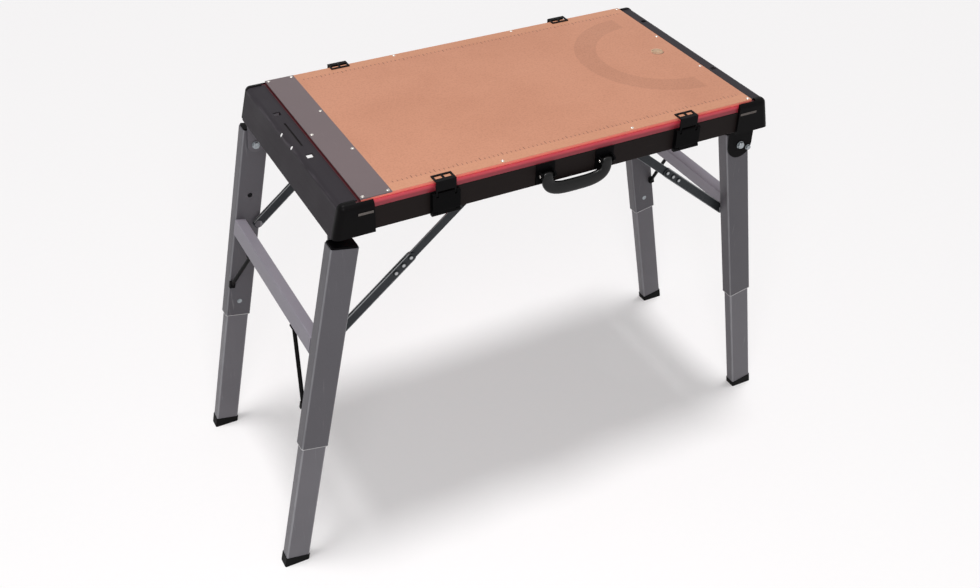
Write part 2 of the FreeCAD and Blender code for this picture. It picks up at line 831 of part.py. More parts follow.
def make_handle_lug(sign):
    y = rail_face + handle_pivot_out
    t = handle_half_thick
    middle = handle_x + sign * (handle_half + handle_inner_half) / 2
    half = (handle_half - handle_inner_half) / 2 + side_gap
    z0 = handle_pivot_z - handle_plate_half
    z1 = handle_pivot_z + handle_plate_half
    wide = half + handle_ear
    edge = wide + handle_plate_margin
    pieces = [block(middle - edge, middle + edge, rail_face, rail_face + handle_plate, z0, z1)]
    pieces.append(handle_axis(middle - wide, middle + wide, handle_pin))
    for x0 in (middle - wide, middle + half):
        pieces.append(block(x0, x0 + handle_ear, rail_face, y, handle_pivot_z - t, handle_pivot_z + t))
        pieces.append(handle_axis(x0, x0 + handle_ear, t))
    return corner(joined(pieces), "left", "front")


# Names and solids of every piece
def every_node():
    nodes = {
        "top_board": make_board(),
        "end_plate": make_end_plate(),
        "red_deck": make_deck(),
        "board_screws": group([make_screw(x, y) for x, y in screw_places()]),
        "leg_pivot_bolts": make_pivot_bolts(),
        "catch_bases": group([make_catch_base(s, e) for s in SIDES for e in ENDS]),
        "handle_lugs": group([make_handle_lug(-1), make_handle_lug(1)]),
        "carry_handle": make_handle(),
    }
    for end in ENDS:
        nodes[end + "_rail"] = make_side_rail(end)
    for side in SIDES:
        nodes[side + "_end_rail"] = make_end_rail(side)
        nodes[side + "_cross_bar"] = make_cross_bar(side)
        nodes[side + "_stretcher"] = make_stretcher(side)
        nodes[side + "_knee_braces"] = group([make_knee_brace(side, end) for end in ENDS])
        nodes[side + "_leg_plugs"] = group([make_leg_plug(side, end) for end in ENDS])
        for end in ENDS:
            at = end + "_" + side + "_"
            nodes[at + "cap"] = make_cap(side, end)
            nodes[at + "bracket"] = make_bracket(side, end)
            nodes[at + "leg"] = make_outer_leg(side, end)
            nodes[at + "inner_leg"] = make_inner_leg(side, end)
            nodes[at + "foot"] = make_foot(side, end)
            nodes[at + "lock_button"] = make_lock_button(side, end)
            nodes[at + "lower_stay"] = make_lower_stay(side, end)
            nodes[at + "upper_stay"] = make_upper_stay(side, end)
            nodes[at + "catch_lever"] = make_lever(side, end)
            nodes[at + "catch_hook"] = make_hook(side, end)
    return nodes


os.makedirs("parts", exist_ok=True)
for name, shape in every_node().items():
    shape.exportStep("parts/" + name + ".step")
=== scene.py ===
"""Looks of a folding workbench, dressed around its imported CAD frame."""
import logging
import math
from dataclasses import dataclass
from enum import Enum
from typing import Any, Callable, Iterable, Optional, Union

import bpy
import numpy as np
from mathutils import Matrix, Vector


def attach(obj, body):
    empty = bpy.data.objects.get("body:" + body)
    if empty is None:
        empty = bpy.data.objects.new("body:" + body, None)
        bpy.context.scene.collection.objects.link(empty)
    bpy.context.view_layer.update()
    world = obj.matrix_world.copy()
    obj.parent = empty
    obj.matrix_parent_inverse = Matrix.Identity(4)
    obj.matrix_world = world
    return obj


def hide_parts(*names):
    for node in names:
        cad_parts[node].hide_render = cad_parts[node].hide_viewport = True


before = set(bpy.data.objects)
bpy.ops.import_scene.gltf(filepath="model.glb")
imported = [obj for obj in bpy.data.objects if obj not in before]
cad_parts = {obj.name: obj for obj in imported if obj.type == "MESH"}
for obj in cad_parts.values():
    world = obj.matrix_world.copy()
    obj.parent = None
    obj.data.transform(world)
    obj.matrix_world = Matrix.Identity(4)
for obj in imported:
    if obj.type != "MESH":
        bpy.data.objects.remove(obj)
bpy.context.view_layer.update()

log = logging.getLogger("bench")

Colour = tuple[float, float, float, float]
Point = tuple[float, float, float]
Pair = tuple[float, float]
Shape = tuple[np.ndarray, np.ndarray]
Ring = tuple[float, float, bool]

MADE: dict[str, bpy.types.Material] = {}


class End(Enum):
    """The long edges of the bench."""

    FRONT = "front"
    BACK = "back"

    @property
    def sign(self) -> float:
        """Direction of this edge along y."""
        return -1.0 if self is End.FRONT else 1.0


class Side(Enum):
    """The two ends of the bench that carry legs."""

    LEFT = "left"
    RIGHT = "right"

    @property
    def sign(self) -> float:
        """Direction of this side along x."""
        return -1.0 if self is Side.LEFT else 1.0

    def corners(self, piece: str) -> list[str]:
        """Names of a piece that this side has at each long edge."""
        return [f"{end.value}_{self.value}_{piece}" for end in End]


class Lamp(Enum):
    """Kinds of lamp in the studio."""

    SOFT = "AREA"
    FAR = "SUN"


class Operation(Enum):
    """Sums that a shader value can take part in."""

    ADD = "ADD"
    TAKE = "SUBTRACT"
    TIMES = "MULTIPLY"
    OVER = "DIVIDE"
    POWER = "POWER"
    LOWER = "MINIMUM"
    HIGHER = "MAXIMUM"
    SIZE = "ABSOLUTE"
    ROOT = "SQRT"
    PART = "FRACT"
    TURN = "ARCTAN2"


# Sizes of the CAD frame that more than one class reads, in metres. A pivot is x and z, a hole x and y.
LEG_PIVOT: Pair = (0.4899, 0.788)
LEG_LEAN = math.atan(0.199)
LEG_HALF: Pair = (0.0305, 0.017)
SLIDE_HALF: Pair = (0.0272, 0.0137)
LANES = {Side.LEFT: 0.2575, Side.RIGHT: 0.214}
BOARD_TOP = 0.920
FINGER_HOLE: Pair = (0.424, 0.019)
HOLE_RADIUS = 0.014

# Scales that draw a pattern out along one way.
ALONG_X: Point = (0.1, 1.0, 1.0)
ALONG_Y: Point = (1.0, 0.1, 1.0)
DOWN_LEG: Point = (1.0, 1.0, 0.08)
ALONG_BAR: Point = (0.2, 0.2, 1.0)


def paint(red: float, green: float, blue: float) -> Colour:
    """Linear colour of a paint that is given as it looks on a screen.

    Args:
        red: Red from 0 to 255.
        green: Green from 0 to 255.
        blue: Blue from 0 to 255.

    Returns:
        The colour as linear red, green, blue and alpha.
    """
    screen = np.array([red, green, blue]) / 255.0
    linear = np.where(screen <= 0.04045, screen / 12.92, ((screen + 0.055) / 1.055) ** 2.4)
    return (float(linear[0]), float(linear[1]), float(linear[2]), 1.0)


def scaled(colour: Colour, share: float) -> Colour:
    """A colour times a share, no channel above 1."""
    red, green, blue = (min(1.0, share * channel) for channel in colour[:3])
    return (red, green, blue, 1.0)


def forward(operation: Operation) -> Callable[["Signal", Any], "Signal"]:
    """Method of a shader value that works out the value and another."""
    return lambda self, other: self.sum(operation, self, other)


def reflected(operation: Operation) -> Callable[["Signal", Any], "Signal"]:
    """Method of a shader value that works out another and the value."""
    return lambda self, other: self.sum(operation, other, self)


class Signal:
    """A shader value: one output socket with arithmetic, so that a mask reads as a formula.

    lower and higher pick one of two values, and height.turn(run) is the angle of a point.
    """

    __add__, __radd__ = forward(Operation.ADD), reflected(Operation.ADD)
    __sub__, __rsub__ = forward(Operation.TAKE), reflected(Operation.TAKE)
    __mul__, __rmul__ = forward(Operation.TIMES), reflected(Operation.TIMES)
    __truediv__, __rtruediv__ = forward(Operation.OVER), reflected(Operation.OVER)
    __pow__, __rpow__ = forward(Operation.POWER), reflected(Operation.POWER)
    lower, higher, turn = forward(Operation.LOWER), forward(Operation.HIGHER), forward(Operation.TURN)

    def __init__(self, shader: "Shader", socket: bpy.types.NodeSocket) -> None:
        """Keep the socket and the shader it belongs to."""
        self.shader = shader
        self.socket = socket

    def sum(self, operation: Operation, first: Any, second: Any = None) -> "Signal":
        """One Math node on a first and, where it takes two, a second number or value."""
        sockets = {0: first} if second is None else {0: first, 1: second}
        return self.shader.node("ShaderNodeMath", {"operation": operation.value}, sockets)

    def __abs__(self) -> "Signal":
        """Size of this value without its sign."""
        return self.sum(Operation.SIZE, self)

    def root(self) -> "Signal":
        """Square root of this value."""
        return self.sum(Operation.ROOT, self)

    def part(self) -> "Signal":
        """What is left of this value after its whole number."""
        return self.sum(Operation.PART, self)

    def rise(self, start: float, end: float) -> "Signal":
        """Soft step of this value, 0 at start and 1 at end, falling where start is above end."""
        low, high, first, last = (start, end, 0.0, 1.0) if start < end else (end, start, 1.0, 0.0)
        return self.shader.node(
            "ShaderNodeMapRange", {"interpolation_type": "SMOOTHSTEP"},
            {0: self, 1: low, 2: high, 3: first, 4: last})

    def within(self, start: float, end: float, soft: float) -> "Signal":
        """Mask of the values between start and end, with edges that are soft wide."""
        return self.rise(start - soft, start + soft) * self.rise(end + soft, end - soft)


@dataclass
class Shader:
    """Node tree of one material or of the surroundings, with the tools that add to it."""

    owner: Union[bpy.types.Material, bpy.types.World]

    @classmethod
    def start(cls, owner: Union[bpy.types.Material, bpy.types.World]) -> "Shader":
        """Take over the node tree of a material or of the surroundings.

        Args:
            owner: What the tree belongs to.

        Returns:
            A shader whose tree is empty.
        """
        owner.use_nodes = True
        owner.node_tree.nodes.clear()
        return cls(owner)

    @property
    def tree(self) -> bpy.types.NodeTree:
        """The owner's node tree."""
        return self.owner.node_tree

    def node(self, kind: str, settings: Optional[dict[str, Any]] = None,
             sockets: Optional[dict[Union[str, int], Any]] = None, out: Union[str, int] = 0) -> Signal:
        """Add one node of any type.

        Args:
            kind: Blender's name of the node type.
            settings: Settings of the node, which are set first.
            sockets: Numbers, colours or values for its sockets.
            out: Output that is handed back.

        Returns:
            That output as a value.
        """
        made = self.tree.nodes.new(kind)
        for key, value in (settings or {}).items():
            setattr(made, key, value)
        for key, value in (sockets or {}).items():
            if isinstance(value, Signal):
                self.tree.links.new(value.socket, made.inputs[key])
            else:
                made.inputs[key].default_value = value
        return Signal(self, made.outputs[out])

    def place(self) -> Signal:
        """Place on the piece, in metres of the bench's own frame."""
        return self.node("ShaderNodeTexCoord", out="Object")

    def axes(self, place: Signal) -> tuple[Signal, ...]:
        """The x, y and z of a place."""
        outputs = self.node("ShaderNodeSeparateXYZ", None, {0: place}).socket.node.outputs
        return tuple(Signal(self, output) for output in outputs)

    def stretched(self, place: Signal, scale: Point, turn: Point = (0.0, 0.0, 0.0)) -> Signal:
        """A place scaled and turned by a Mapping node."""
        return self.node("ShaderNodeMapping", None, {"Vector": place, "Rotation": turn, "Scale": scale})

    def noise(self, place: Signal, scale: float, detail: float = 2.0, rough: float = 0.5) -> Signal:
        """Cloudy pattern from 0 to 1 with about scale blobs to the metre."""
        return self.node("ShaderNodeTexNoise", None,
                         {"Vector": place, "Scale": scale, "Detail": detail, "Roughness": rough})

    def cells(self, place: Signal, scale: float) -> Signal:
        """Distance pattern of random cells, about scale of them to the metre."""
        return self.node("ShaderNodeTexVoronoi", {"feature": "F1"}, {"Vector": place, "Scale": scale})

    def mix(self, share: Any, first: Any, second: Any) -> Signal:
        """Colour between two colours, by the share of the second."""
        return self.node("ShaderNodeMix", {"data_type": "RGBA"}, {0: share, 6: first, 7: second}, 2)

    def bump(self, height: Signal, strength: float, distance: float) -> Signal:
        """Normal of a surface that is raised by height."""
        return self.node("ShaderNodeBump", None,
                         {"Height": height, "Strength": strength, "Distance": distance})

    def seen(self) -> Signal:
        """Tell what looks at the surface from what lights it.

        Returns:
            1 for a ray that looks straight, in a gloss or through glass, or else 0.
        """
        rays = self.node("ShaderNodeLightPath").socket.node.outputs
        kinds = ("Camera", "Glossy", "Transmission")
        camera, gloss, glass = (Signal(self, rays[f"Is {kind} Ray"]) for kind in kinds)
        return camera.higher(gloss).higher(glass)

    def surface(self, **sockets: Any) -> None:
        """Close the material with one principled surface; a socket's name has an underscore for a space."""
        named = {key.replace("_", " "): value for key, value in sockets.items()}
        self.finish(self.node("ShaderNodeBsdfPrincipled", None, named))

    def finish(self, skin: Signal, kind: str = "ShaderNodeOutputMaterial") -> None:
        """Link a surface to an output node of a kind."""
        output = self.tree.nodes.new(kind)
        self.tree.links.new(skin.socket, output.inputs["Surface"])


@dataclass(frozen=True)
class Finish:
    """A finish that is made into one material the first time it is asked for."""

    name: str

    def material(self) -> bpy.types.Material:
        """Make the finish's material, or find it again.

        Returns:
            The material.
        """
        if self.name not in MADE:
            MADE[self.name] = bpy.data.materials.new(self.name)
            self.draw(Shader.start(MADE[self.name]))
        return MADE[self.name]

    def draw(self, shader: Shader) -> None:
        """Draw the finish's nodes."""
        raise NotImplementedError

    def dress(self, *nodes: str) -> None:
        """Give this finish to CAD nodes.

        Args:
            nodes: Names of the nodes.
        """
        for name in nodes:
            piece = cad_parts[name]
            if not piece.material_slots:
                piece.data.materials.append(self.material())
            for slot in piece.material_slots:
                slot.material = self.material()


@dataclass
class CoatGrain:
    """Patterns that every powder coat shares: clouds, specks, streaks and orange peel."""

    cloud: Signal
    speck: Signal
    streak: Signal
    normal: Signal

    @classmethod
    def lay(cls, shader: Shader, place: Signal, along: Point, clouds: float = 7.0, lines: float = 130.0,
            ragged: float = 0.6) -> "CoatGrain":
        """Lay the patterns over a piece.

        Args:
            shader: Shader of the finish.
            place: Place on the piece.
            along: Scale that draws the streaks out.
            clouds: Clouds to the metre.
            lines: Streaks to the metre.
            ragged: How ragged a streak is, from 0 to 1.

        Returns:
            The patterns, the orange peel as a normal.
        """
        speck = shader.noise(place, 420.0, 2.0)
        peel = shader.noise(place, 1300.0, 1.0)
        return cls(
            cloud=shader.noise(place, clouds, 3.0), speck=speck,
            streak=shader.noise(shader.stretched(place, along), lines, 4.0, ragged),
            normal=shader.bump(0.7 * peel + 0.3 * speck, 0.16, 0.0004))

    def scuff(self, start: float) -> Signal:
        """Scuffs: the streaks above start, where the clouds are thick."""
        return self.streak.rise(start, 0.78) * self.cloud.rise(0.35, 0.65)

    def roughness(self, sheen: float, scuff: Signal) -> Signal:
        """Roughness about sheen, duller on scuffs."""
        return sheen + 0.16 * (self.cloud - 0.5) + 0.14 * scuff + 0.08 * (self.speck - 0.5)


@dataclass(frozen=True)
class CoatedSteel(Finish):
    """Powder-coated sheet or tube: orange peel, cloudy tone, fine scuffs along the piece."""

    colour: Colour
    scuffed: Colour
    sheen: float
    metal: float
    along: Point
    scuffs: float
    level: float

    def draw(self, shader: Shader) -> None:
        """Draw tone, scuffs, sheen and orange peel.

        Args:
            shader: Shader of the material.
        """
        grain = CoatGrain.lay(shader, shader.place(), self.along)
        scuff = grain.scuff(0.62)
        tone = shader.mix(0.55 * grain.cloud + 0.45 * grain.speck,
                          scaled(self.colour, 0.82), scaled(self.colour, 1.16))
        shader.surface(
            Base_Color=shader.mix(self.scuffs * scuff, tone, self.scuffed), Metallic=self.metal,
            Specular_IOR_Level=self.level, Roughness=grain.roughness(self.sheen, scuff), Normal=grain.normal)


@dataclass(frozen=True)
class MouldedPlastic(Finish):
    """Moulded black plastic: fine spark texture, dusty bloom, rubbed lighter patches."""

    colour: Colour
    bloom: Colour
    sheen: float
    level: float

    def draw(self, shader: Shader) -> None:
        """Draw the moulded texture and its bloom.

        Args:
            shader: Shader of the material.
        """
        place = shader.place()
        cloud = shader.noise(place, 16.0, 3.0)
        spark = shader.noise(place, 1700.0, 2.0)
        grain = shader.cells(place, 900.0)
        paler = shader.noise(shader.stretched(place, (0.3, 1.0, 1.0)), 70.0, 4.0).rise(0.58, 0.8)
        tone = shader.mix(0.35 * cloud + 0.25 * paler + 0.12 * spark, self.colour, self.bloom)
        shader.surface(
            Base_Color=tone, Specular_IOR_Level=self.level,
            Roughness=self.sheen + 0.2 * (cloud - 0.5) - 0.1 * paler + 0.08 * (spark - 0.5),
            Normal=shader.bump(0.6 * spark + 0.4 * grain, 0.2, 0.0003))


@dataclass(frozen=True)
class CapPlastic(Finish):
    """Moulded cap plastic with a painted highlight on its raised ridge."""

    colour: Colour
    bloom: Colour
    # Colour of the painted highlight on the raised ridge.
    ridge: Colour
    face: float = 0.2782
    soft: float = 0.0004

    def draw(self, shader: Shader) -> None:
        """Draw the moulded texture and the painted highlight on the raised ridge of the outer face.

        Args:
            shader: Shader of the material.
        """
        place = shader.place()
        _, y, _ = shader.axes(place)
        cloud = shader.noise(place, 18.0, 3.0)
        spark = shader.noise(place, 1700.0, 2.0)
        proud = abs(y).rise(self.face, self.face + self.soft)
        tone = shader.mix(0.4 * cloud + 0.15 * spark, self.colour, self.bloom)
        # Painted highlight: the raised ridge is painted pale, broken up by noise.
        paler = 0.55 + 0.4 * shader.noise(place, 160.0, 3.0)
        tone = shader.mix(proud * paler, tone, self.ridge)
        shader.surface(
            Base_Color=tone, Specular_IOR_Level=0.06,
            Roughness=0.42 + 0.2 * (cloud - 0.5) + 0.08 * (spark - 0.5),
            Normal=shader.bump(spark, 0.18, 0.0003))


@dataclass(frozen=True)
class PlatedSteel(Finish):
    """Zinc-plated steel: crystal spangle, brushed lines, cloudy tarnish."""

    colour: Colour
    tarnish: Colour
    sheen: float
    metal: float
    spangle: float

    def draw(self, shader: Shader) -> None:
        """Draw spangle, tarnish and brushing.

        Args:
            shader: Shader of the material.
        """
        place = shader.place()
        cloud = shader.noise(place, 24.0, 4.0)
        crystal = shader.cells(place, self.spangle)
        line = shader.noise(shader.stretched(place, (0.05, 1.0, 1.0)), 900.0, 2.0)
        tone = shader.mix(0.65 * cloud.rise(0.3, 0.75) + 0.25 * crystal, self.colour, self.tarnish)
        shader.surface(
            Base_Color=tone, Metallic=self.metal,
            Roughness=self.sheen + 0.2 * (crystal - 0.4) + 0.12 * (cloud - 0.5),
            Normal=shader.bump(0.5 * line + 0.5 * crystal, 0.1, 0.0002))


@dataclass(frozen=True)
class StaySteel(Finish):
    """Plated stay bars: flats painted dark as a painted reflection, long edges painted bright as wear and a
    painted highlight, and rivet heads at the elbow painted bright as bright steel and a painted highlight.
    """

    colour: Colour
    tarnish: Colour
    # Bright colour of the edge wear and of the painted highlight on edges and rivet heads.
    bright: Colour
    gap: Colour
    foot: Pair = (0.505943, 0.584926)
    top: Pair = (0.211, 0.830)
    elbow: float = 0.228167
    pitch: float = 0.022
    rivets: int = 3
    head: float = 0.0061
    half: float = 0.011
    # Width of the bright band along each long edge: wear and painted highlight.
    wear_and_highlight: Pair = (0.0022, 0.0010)

    def draw(self, shader: Shader) -> None:
        """Draw the flats and paint bright what lies near a long edge or on a rivet, as wear, bright steel and
        a painted highlight.

        A place is read along the stay (u, from its foot) and across it (v), with both sides folded on each
        other; a rivet is the disc round u = elbow less whole pitches, v = 0.

        Args:
            shader: Shader of the material.
        """
        place = shader.place()
        x, _, z = shader.axes(place)
        run = (self.foot[0] - self.top[0], self.top[1] - self.foot[1])
        span = math.hypot(*run)
        cos, sin = run[0] / span, run[1] / span
        along = self.foot[0] - abs(x)
        high = z - self.foot[1]
        u = along * cos + high * sin
        v = high * cos - along * sin
        near = ((u - self.elbow) ** 2.0 + v ** 2.0).root()
        for step in range(1, self.rivets):
            near = near.lower(((u - self.elbow + step * self.pitch) ** 2.0 + v ** 2.0).root())
        # Rivet heads: bright steel with a painted highlight in their middle.
        rivet = near.rise(0.8 * self.head, 0.35 * self.head)
        ring = near.within(0.85 * self.head, self.head + 0.0012, 0.0005)
        # Both long edges are painted bright: wear and a painted highlight.
        rim = abs(v).rise(self.half - self.wear_and_highlight[0], self.half - self.wear_and_highlight[1])
        cloud = shader.noise(place, 30.0, 4.0)
        crystal = shader.cells(place, 220.0)
        tone = shader.mix(0.6 * cloud + 0.3 * crystal, self.colour, self.tarnish)
        tone = shader.mix((0.4 * rim).higher(0.7 * rivet), tone, self.bright)
        tone = shader.mix(0.6 * ring, tone, self.gap)
        shader.surface(
            Base_Color=tone, Metallic=0.55,
            Roughness=0.4 + 0.18 * (crystal - 0.4) + 0.1 * (cloud - 0.5) - 0.1 * rivet,
            Normal=shader.bump(0.6 * crystal + 0.4 * cloud, 0.12, 0.0003))


@dataclass(frozen=True)
class LegCoat(Finish):
    """Coated leg tube: cloudy grey with scuffs along its length and a painted highlight along its corners."""

    colour: Colour
    # Pale colour of the scuffs and of the painted highlight on the corners.
    wear_and_highlight: Colour
    grime: Colour
    half: Pair
    # Distances in from a corner at which the painted highlight begins and is full.
    paler: Pair = (0.0042, 0.0022)

    def draw(self, shader: Shader) -> None:
        """Draw the tone, the painted highlight on the corners, the scuffs and the orange peel.

        A place is read across the leg, n = dz sin(lean) - dx cos(lean), with both sides of the bench folded
        on each other, and along y from the middle of the nearer lane. A corner is far out both ways.

        Args:
            shader: Shader of the material.
        """
        place = shader.place()
        x, y, z = shader.axes(place)
        n = (LEG_PIVOT[1] - z) * math.sin(LEG_LEAN) - (abs(x) - LEG_PIVOT[0]) * math.cos(LEG_LEAN)
        off = abs(abs(y) - LANES[Side.LEFT]).lower(abs(abs(y) - LANES[Side.RIGHT]))
        far_n, far_off = (reach.rise(half - self.paler[0], half - self.paler[1])
                          for reach, half in zip((abs(n), off), self.half))
        grain = CoatGrain.lay(shader, place, DOWN_LEG)
        scuff = grain.scuff(0.6)
        tone = shader.mix(0.2 * grain.cloud + 0.14 * grain.speck, self.colour, self.grime)
        # Scuffs are wear; the pale corners are a painted highlight.
        scuff_and_highlight = (0.35 * scuff).higher(far_n * far_off * (0.2 + 0.5 * grain.streak))
        shader.surface(
            Base_Color=shader.mix(scuff_and_highlight, tone, self.wear_and_highlight), Metallic=0.05, Specular_IOR_Level=0.2,
            Roughness=grain.roughness(0.42, scuff), Normal=grain.normal)


def hole_distance(x: Signal, y: Signal) -> Signal:
    """Distance from the middle of the board's finger hole."""
    return ((x - FINGER_HOLE[0]) ** 2.0 + (y - FINGER_HOLE[1]) ** 2.0).root()


def hole_wall(radius: Signal) -> Signal:
    """Mask of the finger hole's bored wall, by the distance from its middle."""
    return radius.rise(HOLE_RADIUS + 0.0004, HOLE_RADIUS + 0.0002)


@dataclass(frozen=True)
class FacedBoard(Finish):
    """Faced fibreboard: warm face with fine speckle, edge scales, an angle scale and an edge painted bright
    pink as a painted highlight.
    """

    face: Colour = paint(204, 145, 118)
    speck: Colour = paint(156, 103, 81)
    margin: Colour = paint(222, 166, 128)
    ink: Colour = paint(92, 62, 50)
    # Edge colour, painted bright pink as a painted highlight.
    edge: Colour = paint(244, 136, 120)
    cream: Colour = paint(246, 222, 194)
    end: Colour = paint(84, 38, 44)
    scratched: Colour = paint(240, 196, 170)
    burnt: Colour = paint(74, 40, 28)
    fibre: Colour = paint(206, 84, 84)
    half_depth: float = 0.2688
    end_face: float = -0.4445
    marked: Pair = (-0.367, 0.4635)
    mark_step: float = 0.010
    long_step: float = 0.050
    mark_start: float = 0.0275
    mark_end: float = 0.0335
    long_end: float = 0.0375
    mark_soft: float = 0.0004
    arc: Pair = (0.143, 0.194)
    half_turn: Pair = (1.55, 1.59)
    rim: float = 0.0022

    def draw(self, shader: Shader) -> None:
        """Draw the face, its scales and the edge with its painted highlight.

        The edge scales are marks every 10 mm at a set distance inside the long edges, longer every 50 mm.
        The angle scale is a band between two radii round the finger hole, half way round it.

        Args:
            shader: Shader of the material.
        """
        place = shader.place()
        x, y, z = shader.axes(place)
        cloud = shader.noise(place, 5.0, 4.0, 0.55)
        fleck = shader.noise(place, 240.0, 4.0, 0.65)
        fibre = shader.noise(shader.stretched(place, (0.25, 1.0, 1.0)), 620.0, 3.0)
        scratch = shader.noise(shader.stretched(place, (0.04, 1.0, 1.0), (0.0, 0.0, 0.5)), 300.0, 2.0)
        tone = shader.mix(0.26 * fleck.rise(0.42, 0.72) + 0.14 * cloud.rise(0.35, 0.7), self.face, self.speck)
        inside = self.half_depth - abs(y)
        tone = shader.mix(0.16 * inside.rise(0.028, 0.026), tone, self.margin)
        tone = shader.mix(self.ruler(x, inside) * (0.45 + 0.45 * fleck), tone, self.ink)
        radius = hole_distance(x, y)
        turn = (y - FINGER_HOLE[1]).turn(x - FINGER_HOLE[0])
        band = radius.within(*self.arc, 0.0015) * abs(turn).rise(*self.half_turn)
        tone = shader.mix(band * (0.05 + 0.16 * fleck), tone, self.ink)
        tone = shader.mix(0.2 * scratch.rise(0.68, 0.8), tone, self.scratched)
        rim = radius.within(HOLE_RADIUS, HOLE_RADIUS + self.rim, 0.0003) * turn.rise(-0.3, -0.7)
        tone = shader.mix(0.75 * rim, tone, self.burnt)
        side = z.rise(BOARD_TOP - 0.0008, BOARD_TOP - 0.0016)
        # Painted highlight: the edge is painted bright pink; at the left end face it is dark maroon.
        edge_with_highlight = shader.mix(x.rise(self.end_face + 0.0010, self.end_face + 0.0004), self.edge, self.end)
        tone = shader.mix(side, tone, shader.mix(0.3 * fibre, edge_with_highlight, self.fibre))
        tone = shader.mix(hole_wall(radius), tone, self.cream)
        shader.surface(
            Base_Color=tone, Specular_IOR_Level=0.12,
            Roughness=0.5 + 0.2 * (cloud - 0.5) + 0.14 * (fleck - 0.5) + 0.2 * side,
            Normal=shader.bump(0.5 * fibre + 0.5 * fleck, 0.08, 0.0004))

    def ruler(self, x: Signal, inside: Signal) -> Signal:
        """Mask of the marks along the long edges.

        Args:
            x: Place along the board.
            inside: Distance from the nearer long edge.

        Returns:
            The mask, 1 on a mark.
        """
        short = abs((x / self.mark_step).part() - 0.5).rise(0.10, 0.06)
        short = short * inside.within(self.mark_start, self.mark_end, self.mark_soft)
        long = abs((x / self.long_step).part() - 0.5).rise(0.022, 0.014)
        long = long * inside.within(self.mark_start, self.long_end, self.mark_soft)
        return short.higher(long) * x.within(*self.marked, 0.001)


@dataclass(frozen=True)
class RedSlab(Finish):
    """Red slab: upper lip painted bright as a painted highlight over a side painted darker as painted shade,
    with soft streaks.
    """

    # The lip's lighter red is a painted highlight and the side's darker red is painted shade.
    lip: Colour = paint(214, 68, 82)
    side: Colour = paint(142, 44, 56)
    streaks: Colour = paint(140, 28, 46)
    end: Colour = paint(78, 34, 40)
    end_streaks: Colour = paint(48, 24, 28)
    wall: Colour = paint(238, 206, 178)
    split: float = 0.9062
    split_soft: float = 0.0030
    ends: Pair = (-0.4425, 0.4735)
    end_soft: float = 0.0004

    def draw(self, shader: Shader) -> None:
        """Draw the lip with its painted highlight, the side with its painted shade, and their streaks.

        Args:
            shader: Shader of the material.
        """
        place = shader.place()
        x, y, z = shader.axes(place)
        streak = shader.noise(shader.stretched(place, (0.15, 0.15, 1.0)), 260.0, 3.0)
        speck = shader.noise(place, 700.0, 2.0)
        # Painted highlight and shade: lighter red above the split height, darker below it.
        lip = z.rise(self.split - self.split_soft, self.split + self.split_soft)
        tone = shader.mix(0.3 * streak, shader.mix(lip, self.side, self.lip), self.streaks)
        left, right = self.ends
        beyond = x.rise(left + self.end_soft, left - self.end_soft)
        beyond = beyond.higher(x.rise(right - self.end_soft, right + self.end_soft))
        tone = shader.mix(beyond, tone, shader.mix(0.5 * streak, self.end, self.end_streaks))
        tone = shader.mix(hole_wall(hole_distance(x, y)), tone, self.wall)
        shader.surface(
            Base_Color=tone, Specular_IOR_Level=0.4,
            Roughness=0.36 + 0.2 * (streak - 0.5) + 0.1 * (speck - 0.5),
            Normal=shader.bump(speck, 0.1, 0.0003))


@dataclass(frozen=True)
class EndRailCoat(Finish):
    """Coated end rail: dark grey sheet with pale streaks along its bend, partly wear and partly a painted
    highlight, and a sunk groove whose floor is painted dark as painted shade.
    """

    colour: Colour
    # Pale colour of the bend: wear and a painted highlight.
    bend: Colour
    grime: Colour
    # Dark colour of the groove's floor: painted shade.
    floor: Colour
    bend_top: float = 0.915
    bend_low: float = 0.903
    bend_soft: float = 0.003
    groove_x: Pair = (-0.47095, -0.46695)
    groove_y: Pair = (-0.025, 0.078)
    groove_soft: float = 0.0001

    def draw(self, shader: Shader) -> None:
        """Draw the coat, the pale line along the bend as wear and a painted highlight, and the groove's floor
        painted dark as painted shade.

        Args:
            shader: Shader of the material.
        """
        place = shader.place()
        x, y, z = shader.axes(place)
        grain = CoatGrain.lay(shader, place, ALONG_Y, 8.0, 160.0, 0.5)
        # Wear and painted highlight: pale streaks along the bend.
        wear_and_highlight = z.within(self.bend_low + self.bend_soft, self.bend_top - self.bend_soft, self.bend_soft)
        tone = shader.mix(0.3 * grain.cloud + 0.2 * grain.speck, self.colour, self.grime)
        tone = shader.mix(0.3 * wear_and_highlight * grain.streak.rise(0.4, 0.7), tone, self.bend)
        # Painted shade: the groove's floor is painted dark.
        sunk = x.within(*self.groove_x, self.groove_soft) * y.within(*self.groove_y, self.groove_soft)
        sunk = sunk * z.rise(self.bend_top - 0.0002, self.bend_top - 0.0004)
        tone = shader.mix(sunk * z.rise(self.bend_top - 0.003, self.bend_top - 0.002), tone, self.floor)
        shader.surface(
            Base_Color=tone, Specular_IOR_Level=0.08,
            Roughness=0.5 + 0.18 * (grain.cloud - 0.5) + 0.1 * (grain.streak - 0.5), Normal=grain.normal)


@dataclass(frozen=True)
class FloorPaint(Finish):
    """Pale studio floor that keeps the bench's shadow."""

    colour: Colour = (0.975, 0.955, 0.96, 1.0)
    lift: float = 0.3

    def draw(self, shader: Shader) -> None:
        """Mix a soft floor with a share of plain white for what looks at it.

        Args:
            shader: Shader of the material.
        """
        grain = shader.noise(shader.place(), 60.0, 3.0)
        tone = shader.mix(grain, scaled(self.colour, 0.98), self.colour)
        matt = shader.node("ShaderNodeBsdfPrincipled", None,
                           {"Base Color": tone, "Roughness": 1.0, "Specular IOR Level": 0.0})
        white = shader.node("ShaderNodeEmission", None, {"Strength": 1.0})
        share = self.lift * shader.seen()
        shader.finish(shader.node("ShaderNodeMixShader", None, {0: share, 1: matt, 2: white}))


